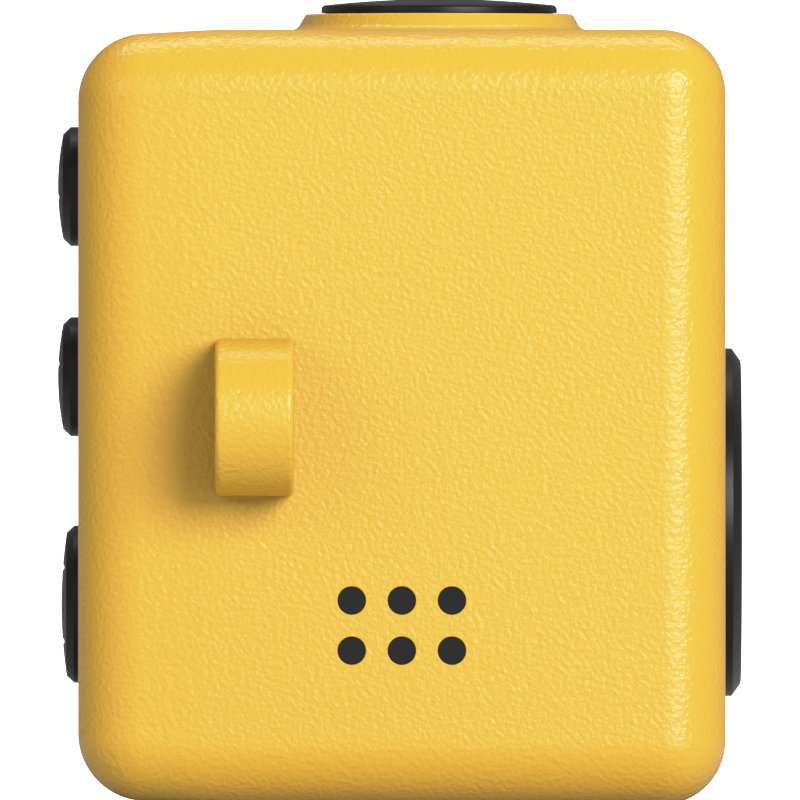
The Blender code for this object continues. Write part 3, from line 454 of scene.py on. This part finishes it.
def steel(name, tone, low, high, fineness=1, relief=0.003):
    n = Nodes(name)
    vector = n.coordinates(fineness)
    lines = n.noise(vector, 3.0, detail=4.0)
    colour = n.mix(lines, (tone * 0.92,) * 3, (tone, tone, tone * 1.01))
    return n.finish(colour, n.spread(lines, low, high), n.bump(lines, relief), Metallic=1.0)


def soft_rubber():
    n = Nodes("soft_rubber_moulded")
    vector = n.coordinates()
    grain = n.noise(vector, 5.0, detail=3.0)
    colour = n.mix(grain, (0.045, 0.045, 0.05), (0.06, 0.06, 0.065))
    return n.finish(colour, n.spread(grain, 0.7, 0.85), n.bump(grain, 0.01))


YELLOW = yellow_plastic()
BLACK = black_plastic()
PIP_BLACK = black_plastic("pip_black_moulded", 0.012, 0.2, 0.25)
WHITE = white_plastic()
STEEL = steel("zinc_steel", 0.62, 0.28, 0.42)
BALL_STEEL = steel("polished_steel", 0.75, 0.07, 0.13, relief=0.0006)
SPRING_STEEL = steel("spring_steel_wire", 0.5, 0.25, 0.38, fineness=4)
RUBBER = soft_rubber()

SLOT_FINISHES = {
    "case_yellow": YELLOW,
    "control_black": BLACK,
    "pip_black": PIP_BLACK,
    "inner_white": WHITE,
    "steel": STEEL,
    "ball_steel": BALL_STEEL,
    "spring_steel": SPRING_STEEL,
    "soft_rubber": RUBBER,
}


def dress_cad_nodes():
    """Every CAD node that stays in view gets its slot's finish."""
    for row in frame["record"]["subparts"]:
        node = frame["nodes"][row["node"]]
        node.data.materials.clear()
        node.data.materials.append(SLOT_FINISHES[row["material_slot"]])


# ---------------------------------------------------------------- case


CREASE_X = LEFT + TAPER_LENGTH


def case_block():
    """The whole case as one solid: a box whose left end tapers, with rounded outer edges."""
    shape = bmesh.new()
    sections = ((LEFT, TAPER), (CREASE_X, 0.0), (RIGHT, 0.0))
    rings = []
    for x, inset in sections:
        corners = (
            (FRONT + inset, inset),
            (BACK - inset, inset),
            (BACK - inset, TOP - inset),
            (FRONT + inset, TOP - inset),
        )
        rings.append([shape.verts.new((x, y, z)) for y, z in corners])
    for first, second in zip(rings, rings[1:]):
        for k in range(4):
            n = (k + 1) % 4
            shape.faces.new((first[k], first[n], second[n], second[k]))
    shape.faces.new(rings[0])
    shape.faces.new(reversed(rings[-1]))
    bmesh.ops.recalc_face_normals(shape, faces=shape.faces)
    crease = set(rings[1])
    edges = [e for e in shape.edges if not set(e.verts) <= crease]
    bmesh.ops.bevel(
        shape,
        geom=edges,
        offset=EDGE_RADIUS,
        offset_type="OFFSET",
        segments=EDGE_STEPS,
        profile=0.5,
        affect="EDGES",
    )
    return shape


def top_boss():
    place = middle("glide_cap")
    foot_radius, foot_rise = BOSS_FOOT
    foot = [(BOSS_SKIRT_RADIUS, TOP), *arc((foot_radius, TOP + foot_rise), BOSS_FILLET, 262, 200, 12)]
    rim = arc((BOSS_TOP_RADIUS - BOSS_EDGE, BOSS_TOP - BOSS_EDGE), BOSS_EDGE, 15, 90, 6)
    low = TOP - WALL / 2
    profile = [(0, low), (foot[0][0], low), *foot, *rim, (0, BOSS_TOP)]
    return turned(profile, (place.x, place.y, 0), (0, 0, 1))


def worry_dish():
    shape = bmesh.new()
    bmesh.ops.create_uvsphere(shape, u_segments=96, v_segments=64, radius=1.0)
    grow = Matrix.Translation((0, MID_Y, DISH_CENTRE_Z)) @ Matrix.Diagonal((*DISH_RADII, 1.0))
    bmesh.ops.transform(shape, matrix=grow, verts=shape.verts)
    return shape


def cavity(y_low, y_high):
    return box((LEFT + WALL, y_low, BASE_WALL), (RIGHT - WALL, y_high, TOP - WALL))


def button_radius(name):
    low, high = node_box(f"button_{name}")
    return (high.z - low.z) / 2 - FLANGE_OVER


def pip_places():
    place = middle("pip_insert")
    rows = (place.z + PIP_PITCH / 2, place.z - PIP_PITCH / 2)
    return [(place.x + column * PIP_PITCH, z) for z in rows for column in (-1, 0, 1)]


def build_case_front():
    split = TUB_HIGH.y
    behind = box((LEFT - REACH, split, -REACH), (RIGHT + REACH, BACK + REACH, BOSS_TOP + REACH))
    holes = []
    for name in GROOVES:
        place = middle(f"button_{name}")
        mouth = (LEFT, place.y, place.z)
        holes.append(lipped_rod(mouth, (1, 0, 0), button_radius(name) + RUN, WALL + REACH))
    low, high = node_box("dial")
    dial = (low + high) / 2
    dial_radius = (high.z - low.z) / 2 + RUN
    holes.append(lipped_rod((RIGHT, dial.y, dial.z), (-1, 0, 0), dial_radius, RECESS_DEPTH, segments=ROUND))
    pad = middle("glide_cap")
    stem_low = (pad.x, pad.y, TOP - WALL - REACH)
    holes.append(rod(stem_low, (pad.x, pad.y, BOSS_TOP + REACH), CAP_STEM_HOLE))
    pips = [
        lipped_rod((x, FRONT, z), (0, 1, 0), PIP_RADIUS + PIP_RUN, WALL + REACH, lip=PIP_LIP)
        for x, z in pip_places()
    ]
    hub_end = (RIGHT - RECESS_DEPTH + RUN, dial.y, dial.z)
    bore = rod((RIGHT - WALL - REACH, dial.y, dial.z), hub_end, DIAL_HUB_HOLE)
    tab = middle("slide_tab")
    across, up = TAB_SLOT_HALF
    slot_end = FRONT + WALL + REACH
    slot = box((tab.x - across, FRONT - REACH, tab.z - up), (tab.x + across, slot_end, tab.z + up))
    return build(
        "case_front",
        case_block(),
        YELLOW,
        "housing",
        "front_housing",
        add=([top_boss()],),
        cut=([cavity(FRONT + WALL, BACK)], [behind], holes, [*pips, bore, slot, worry_dish()]),
        crease=CREASE_X,
    )


def build_case_back():
    split = COVER_LOW.y + COVER_LIP
    ahead = box((LEFT - REACH, FRONT - REACH, -REACH), (RIGHT + REACH, split, TOP + REACH))
    cuts = []
    for number in range(1, 5):
        place = middle(f"rear_cover_screw_{number}")
        cuts.append(lipped_rod((place.x, BACK, place.z), (0, -1, 0), COUNTERBORE, BACK - split + REACH))
    for name in ROLLERS:
        low, high = node_box(name)
        centre = (low + high) / 2
        radius = (high.z - low.z) / 2 + ROLLER_GAP
        start = (low.x - RUN, centre.y, centre.z)
        cuts.append(rod(start, (high.x + RUN, centre.y, centre.z), radius, ROUND))
    ball = middle("ball")
    mouth = (ball.x, BACK, ball.z)
    cuts.append(lipped_rod(mouth, (0, -1, 0), BALL_OPENING, WALL + REACH, lip=BALL_EDGE, segments=ROUND))
    seat = rod((ball.x, BACK - WALL - REACH, ball.z), (ball.x, BACK - BALL_LIP, ball.z), BALL_SEAT, ROUND)
    return build(
        "case_back",
        case_block(),
        YELLOW,
        "housing",
        "rear_cover",
        cut=([ahead], [cavity(split - REACH, BACK - WALL)], [worry_dish()], cuts, [seat]),
        crease=CREASE_X,
    )


# ---------------------------------------------------------------- controls, springs and screws


def build_switch_tab():
    low, high = node_box("slide_tab")
    place = (low + high) / 2
    face_y = FRONT - SHIM
    radius = (high.z - low.z) / 2
    straight = face_y - low.y - radius
    outline = [*arc((0, straight), radius, 0, 180, 72), (-radius, 0), (radius, 0)]
    tab = extruded(outline, lambda u, v, w: (w, face_y - v, place.z + u), low.x, high.x)
    sides = [f for f in tab.faces if abs(f.normal.x) > 0.9]
    rim = {e for f in sides for e in f.edges if e.calc_length() < radius}
    bmesh.ops.bevel(tab, geom=list(rim), offset=TAB_EDGE, segments=6, profile=0.5, affect="EDGES")
    across, up = TAB_STEM_HALF
    stem = box((place.x - across, face_y - ROOT, place.z - up), (place.x + across, high.y, place.z + up))
    build("switch_tab", tab, YELLOW, "slide_switch", "slide_tab", add=([stem],))


def build_pips():
    low, high = node_box("pip_insert")
    back = FRONT + WALL + SHIM
    plate = box((low.x, back, low.z), (high.x, high.y, high.z))
    pegs = [rod((x, low.y, z), (x, back + PIP_ROOT, z), PIP_RADIUS) for x, z in pip_places()]
    build("pip_plate", plate, PIP_BLACK, "housing", "pip_insert", add=(pegs,))


def build_buttons():
    for name, (offsets, depth) in GROOVES.items():
        low, high = node_box(f"button_{name}")
        place = (low + high) / 2
        radius = button_radius(name)
        top = LEFT - low.x
        rim = top - BUTTON_DOME
        inner = radius - BUTTON_CHAMFER
        flange_top = -WALL - FLANGE_GAP
        flange_low = flange_top - FLANGE_WALL
        stem_low = LEFT - high.x
        bend = 0.05
        shares = [part / BUTTON_STEPS for part in range(BUTTON_STEPS - 1, 0, -1)]
        dome = [(inner * share, top - BUTTON_DOME * share**2) for share in shares]
        profile = [
            (0, stem_low),
            (BUTTON_STEM_RADIUS, stem_low),
            (BUTTON_STEM_RADIUS, flange_low),
            (radius + FLANGE_OVER, flange_low),
            (radius + FLANGE_OVER, flange_top),
            (radius, flange_top),
            (radius, rim - BUTTON_CHAMFER - bend),
            (radius - bend * 0.3, rim - BUTTON_CHAMFER),
            (inner + bend, rim - bend),
            (inner, rim),
            *dome,
            (0, top),
        ]
        cap = turned(profile, (LEFT, place.y, place.z), (-1, 0, 0))
        grooves = []
        for offset in offsets:
            z = place.z + offset
            floor_x = low.x + BUTTON_DOME * (offset / inner) ** 2 + depth
            curve = (GROOVE_HALF_WIDTH**2 + depth**2) / (2 * depth)
            outer_x = low.x - curve
            bed = arc((floor_x - curve, z), curve, -80, 80, 24)
            outline = [*bed, (outer_x, z + curve), (outer_x, z - curve)]
            end = radius + REACH
            grooves.append(extruded(outline, lambda u, v, w: (u, w, v), place.y - end, place.y + end))
        build(
            f"click_cap_{name}",
            cap,
            BLACK,
            f"button_{name}",
            f"button_{name}",
            cut=(grooves,),
            sharp_angle=24,
        )


def coil(start, axis, radius, length):
    """A spring wire: a small circle swept along a helix, with flat ends."""
    shape = bmesh.new()
    axis = Vector(axis)
    side = axis.orthogonal().normalized()
    other = axis.cross(side)
    count = COIL_TURNS * COIL_STEPS
    rings = []
    for i in range(count + 1):
        angle = 2 * math.pi * i / COIL_STEPS
        out = side * math.cos(angle) + other * math.sin(angle)
        centre = Vector(start) + out * radius + axis * (WIRE + (length - 2 * WIRE) * i / count)
        wire = arc((0, 0), WIRE, 0, 360, WIRE_SIDES)[:-1]
        rings.append([shape.verts.new(centre + out * u + axis * v) for u, v in wire])
    for first, second in zip(rings, rings[1:]):
        for k in range(WIRE_SIDES):
            n = (k + 1) % WIRE_SIDES
            shape.faces.new((first[k], first[n], second[n], second[k]))
    shape.faces.new(rings[0])
    shape.faces.new(reversed(rings[-1]))
    bmesh.ops.recalc_face_normals(shape, faces=shape.faces)
    return shape


def flatten(obj):
    """Gives obj a mesh of its own. It is not yet squashed as its joint is pressed.
    """
    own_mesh(obj)


def build_button_spring(name):
    node = f"button_spring_{name}"
    low, high = node_box(node)
    place = (low + high) / 2
    shape = coil((low.x, place.y, place.z), (1, 0, 0), BUTTON_SPRING_RADIUS, high.x - low.x)
    obj = build(f"return_spring_{name}", shape, SPRING_STEEL, "housing", node)
    flatten(obj)


def build_click_dome(name):
    node = f"click_dome_{name}"
    low, high = node_box(node)
    place = (low + high) / 2
    radius = (high.z - low.z) / 2
    height = high.x - low.x
    rise = (height - DOME_SKIRT) / radius
    crown = [(r, DOME_SKIRT + h * rise) for r, h in arc((0, 0), radius, 0, 90, 20)[:-1]]
    profile = [(0, 0), (radius, 0), *crown, (0, height)]
    shape = turned(profile, (high.x, place.y, place.z), (-1, 0, 0), HALF_ROUND)
    obj = build(f"snap_dome_{name}", shape, SPRING_STEEL, "housing", node)
    flatten(obj)


def build_ball_spring():
    low, high = node_box("ball_spring")
    place = (low + high) / 2
    shape = coil((place.x, low.y, place.z), (0, 1, 0), BALL_SPRING_RADIUS, high.y - low.y)
    obj = build("ball_return_spring", shape, SPRING_STEEL, "housing", "ball_spring")
    flatten(obj)


def build_pad_cap():
    low, high = node_box("glide_cap")
    place = (low + high) / 2
    under = BOSS_TOP + SHIM
    radius = PAD_RADIUS
    shoulder = radius - CAP_EDGE
    crown = high.z - CAP_DISC_RISE
    side_z = BOSS_TOP + CAP_SIDE
    rim = arc((shoulder, side_z), CAP_EDGE, 0, 90, 8)[:-1]
    drop = crown - side_z - CAP_EDGE

    def dome(r):
        return crown - drop * (r / shoulder) ** 2

    step = CAP_DISC_RADIUS
    step_foot, step_slope, step_round = 0.1, 0.04, 0.03
    rings = [shoulder * part / CAP_STEPS for part in range(CAP_STEPS, 0, -1)]
    slope = [(r, dome(r)) for r in rings if r > step + CAP_EDGE]
    stem_low = under - CAP_STEM_LENGTH
    profile = [
        (0, stem_low),
        (CAP_STEM_RADIUS, stem_low),
        (CAP_STEM_RADIUS, under),
        (radius, under),
        *rim,
        *slope,
        (step + step_foot, dome(step + step_foot)),
        (step + step_slope, high.z - step_round),
        (step - step_slope, high.z),
        (0, high.z),
    ]
    cap = turned(profile, (place.x, place.y, 0), (0, 0, 1))
    build("pad_cap", cap, BLACK, "glide_pad", "glide_cap", sharp_angle=24)


def build_dial():
    low, high = node_box("dial")
    place = (low + high) / 2
    radius = (high.z - low.z) / 2
    face = high.x - RIGHT
    floor = RUN - RECESS_DEPTH
    bend = 0.06
    chamfer_r, chamfer_x = 0.68, 0.45
    ledge = ((1.2, 0.0), (1.3, 0.06), (1.6, 0.12))
    hollow_half, hollow_middle = 0.2, 0.22
    profile = [
        (0, -DIAL_HUB_DEPTH),
        (DIAL_HUB_RADIUS, -DIAL_HUB_DEPTH),
        (DIAL_HUB_RADIUS, floor),
        (radius, floor),
        (radius, face - chamfer_x - bend),
        (radius - bend * 0.4, face - chamfer_x),
        (radius - chamfer_r + bend, face - bend * 0.6),
        (radius - chamfer_r - bend, face),
        *[(radius - inset, face - depth) for inset, depth in ledge],
        (radius / 2, face - hollow_half),
        (0, face - hollow_middle),
    ]
    disc = turned(profile, (RIGHT, place.y, place.z), (1, 0, 0))
    dimple = bmesh.new()
    bmesh.ops.create_uvsphere(dimple, u_segments=96, v_segments=64, radius=DIMPLE_RADIUS)
    centre = (high.x - DIMPLE_DEPTH + DIMPLE_RADIUS, place.y, place.z + DIMPLE_OFFSET)
    turn = Matrix.Rotation(math.radians(90), 4, "Y")
    bmesh.ops.transform(dimple, matrix=Matrix.Translation(centre) @ turn, verts=dimple.verts)
    build("spin_dial", disc, BLACK, "dial", "dial", cut=([dimple],), sharp_angle=24)


def build_rollers():
    for name in ROLLERS:
        low, high = node_box(name)
        place = (low + high) / 2
        radius = (high.z - low.z) / 2
        outline = []
        for i in range(RIDGES * RIDGE_STEPS):
            angle = 2 * math.pi * i / (RIDGES * RIDGE_STEPS)
            wave = (1 - math.cos(RIDGES * angle)) / 2
            r = radius - RIDGE_DEPTH * wave**0.7
            outline.append((r * math.cos(angle), r * math.sin(angle)))
        wheel = extruded(outline, lambda u, v, w: (w, place.y + u, place.z + v), low.x, high.x)
        sides = [f for f in wheel.faces if abs(f.normal.x) > 0.9]
        rim = {e for f in sides for e in f.edges}
        bmesh.ops.bevel(wheel, geom=list(rim), offset=0.12, segments=3, profile=0.5, affect="EDGES")
        bore = rod((low.x - REACH, place.y, place.z), (high.x + REACH, place.y, place.z), ROLLER_BORE)
        label = name.replace("roller", "knurl")
        build(label, wheel, BLACK, name, name, cut=([bore],), sharp_angle=40)


def build_ball():
    low, high = node_box("ball")
    shape = bmesh.new()
    bmesh.ops.create_uvsphere(shape, u_segments=96, v_segments=48, radius=(high.x - low.x) / 2)
    bmesh.ops.transform(shape, matrix=Matrix.Translation(middle("ball")), verts=shape.verts)
    build("roll_ball", shape, BALL_STEEL, "ball", "ball")


def build_screws():
    shank = 0.8
    point = 0.15
    head_height = 0.9
    crown_radius = 2.1
    crown_sink = 0.2
    slot_half = (0.72, 0.17)
    slot_depth = 0.5
    for number in range(1, 5):
        node = f"rear_cover_screw_{number}"
        low, high = node_box(node)
        place = (low + high) / 2
        head = (high.x - low.x) / 2
        seat = (place.x, high.y, place.z)
        length = high.y - low.y
        crown = arc((0, crown_sink - crown_radius), crown_radius, 40, 90, 6)
        crown = [(r, h - crown_sink) for r, h in crown if r < head - 0.1]
        profile = [
            (0, -length),
            (point, -length),
            (shank, shank - length),
            (shank, -head_height),
            (head, -head_height),
            (head, crown[0][1] - 0.05),
            *crown[:-1],
            (0, 0),
        ]
        shape = turned(profile, seat, (0, 1, 0), HALF_ROUND)
        turn = Matrix.Rotation(math.radians(20 + 31 * number), 4, "Y")
        cross = []
        for long, short in (slot_half, slot_half[::-1]):
            bar = box((-long, -slot_depth, -short), (long, slot_depth, short))
            bmesh.ops.transform(bar, matrix=Matrix.Translation(seat) @ turn, verts=bar.verts)
            cross.append([bar])
        build(f"back_screw_{number}", shape, STEEL, "housing", node, cut=cross)


# ---------------------------------------------------------------- studio


# Each lamp's azimuth, elevation, distance, width and height, and power in watts.
LAMPS = {
    "key": (28, 18, 900, (460, 420), 6.45),
    "fill": (-42, 20, 900, (600, 400), 0.85),
    "overhead": (180, 74, 380, (420, 100), 0.38),
}
AMBIENT = 0.26
FLOOR_BOUNCE = 0.52
BACKDROP = 2.0
# Points of the response curve: how bright the light is, and how bright it is shown.
SHOULDER = ((0.4, 0.4), (0.82, 0.82), (1.0, 0.9), (1.3, 0.965))
SWEEP_CLEAR = 0.2
SWEEP_WHITE = 0.06
VIEW_WIDTH = 40.7
VIEW_CENTRE = (-0.09, 20.63)
LENS = 1600.0
SENSOR = 36.0
CLIP_END = 10.0
FLOOR_HALF = 1500


def area_light(name, place, target, size, power):
    data = bpy.data.lights.new(name, "AREA")
    data.shape = "RECTANGLE"
    data.size, data.size_y = size[0] * MM, size[1] * MM
    data.energy = power
    lamp = bpy.data.objects.new(name, data)
    bpy.context.scene.collection.objects.link(lamp)
    lamp.location = Vector(place) * MM
    aim = Vector(target) - Vector(place)
    lamp.rotation_euler = aim.to_track_quat("-Z", "Y").to_euler()


def around(azimuth, elevation, distance, centre):
    """A place at azimuth degrees to the right of the front and elevation degrees up."""
    a, e = math.radians(azimuth), math.radians(elevation)
    flat = distance * math.cos(e)
    return Vector(centre) + Vector((flat * math.sin(a), -flat * math.cos(a), distance * math.sin(e)))


def fade_to_white(pale):
    """Turns the floor into a seamless white sweep where the camera sees it at a grazing angle."""
    facing = pale.add("ShaderNodeLayerWeight")
    facing.inputs["Blend"].default_value = 0.5
    grazing = pale.spread(facing.outputs["Facing"], 0.0, 1.0, start=1 - SWEEP_CLEAR, end=1 - SWEEP_WHITE)
    seen = pale.add("ShaderNodeLightPath").outputs["Is Camera Ray"]
    amount = pale.math("MULTIPLY", grazing, seen)
    glow = pale.add("ShaderNodeEmission")
    glow.inputs["Strength"].default_value = BACKDROP
    blend = pale.add("ShaderNodeMixShader")
    pale.link(amount, blend.inputs[0])
    pale.link(pale.shader.outputs[0], blend.inputs[1])
    pale.link(glow.outputs[0], blend.inputs[2])
    pale.link(blend.outputs[0], pale.tree.nodes["Material Output"].inputs["Surface"])


def soften_highlights():
    """Gives the camera a response that stays linear up to SHOULDER and rolls off to white after it."""
    view = bpy.context.scene.view_settings
    view.view_transform = "Standard"
    view.use_curve_mapping = True
    curve = view.curve_mapping
    curve.clip_max_x = BACKDROP
    curve.clip_max_y = BACKDROP
    points = curve.curves[3].points
    points[1].location = (BACKDROP, 1.0)
    for level, shown in SHOULDER:
        points.new(level, shown)
    curve.update()


def build_studio():
    centre = Vector((0, 0, TOP / 2))
    floor_mesh = bmesh.new()
    bmesh.ops.create_grid(floor_mesh, x_segments=1, y_segments=1, size=FLOOR_HALF)
    floor = object_from("floor", floor_mesh)
    shrink(floor)
    pale = Nodes("pale_floor")
    speck = pale.noise(pale.coordinates(), 0.05)
    shown = pale.mix(speck, (0.80, 0.80, 0.80), (0.82, 0.82, 0.82))
    bounced = pale.add("ShaderNodeLightPath").outputs["Is Diffuse Ray"]
    pale.finish(pale.mix(bounced, shown, (FLOOR_BOUNCE,) * 3), 0.9)
    fade_to_white(pale)
    floor.data.materials.append(pale.material)

    for name, (azimuth, elevation, distance, size, power) in LAMPS.items():
        area_light(name, around(azimuth, elevation, distance, centre), centre, size, power)

    world = bpy.data.worlds.new("studio")
    bpy.context.scene.world = world
    world.use_nodes = True
    tree = world.node_tree
    tree.nodes.clear()
    output = tree.nodes.new("ShaderNodeOutputWorld")
    seen = tree.nodes.new("ShaderNodeBackground")
    seen.inputs["Color"].default_value = (1, 1, 1, 1)
    seen.inputs["Strength"].default_value = BACKDROP
    lit = tree.nodes.new("ShaderNodeBackground")
    lit.inputs["Color"].default_value = (1, 1, 1, 1)
    lit.inputs["Strength"].default_value = AMBIENT
    path = tree.nodes.new("ShaderNodeLightPath")
    choose = tree.nodes.new("ShaderNodeMixShader")
    tree.links.new(path.outputs["Is Camera Ray"], choose.inputs[0])
    tree.links.new(lit.outputs[0], choose.inputs[1])
    tree.links.new(seen.outputs[0], choose.inputs[2])
    tree.links.new(choose.outputs[0], output.inputs["Surface"])

    camera_data = bpy.data.cameras.new("camera")
    camera_data.lens = LENS
    camera_data.sensor_width = SENSOR
    camera_data.clip_end = CLIP_END
    camera = bpy.data.objects.new("camera", camera_data)
    bpy.context.scene.collection.objects.link(camera)
    distance = VIEW_WIDTH * LENS / SENSOR
    eye = Vector((VIEW_CENTRE[0], FRONT - distance, VIEW_CENTRE[1]))
    aim = Vector((VIEW_CENTRE[0], FRONT, VIEW_CENTRE[1]))
    camera.location = eye * MM
    camera.rotation_euler = (aim - eye).to_track_quat("-Z", "Y").to_euler()
    bpy.context.scene.camera = camera
    soften_highlights()


dress_cad_nodes()
build_case_front()
build_case_back()
build_switch_tab()
build_pips()
build_buttons()
build_pad_cap()
build_dial()
build_rollers()
build_ball()
build_ball_spring()
for name in GROOVES:
    build_button_spring(name)
    build_click_dome(name)
build_screws()
build_studio()
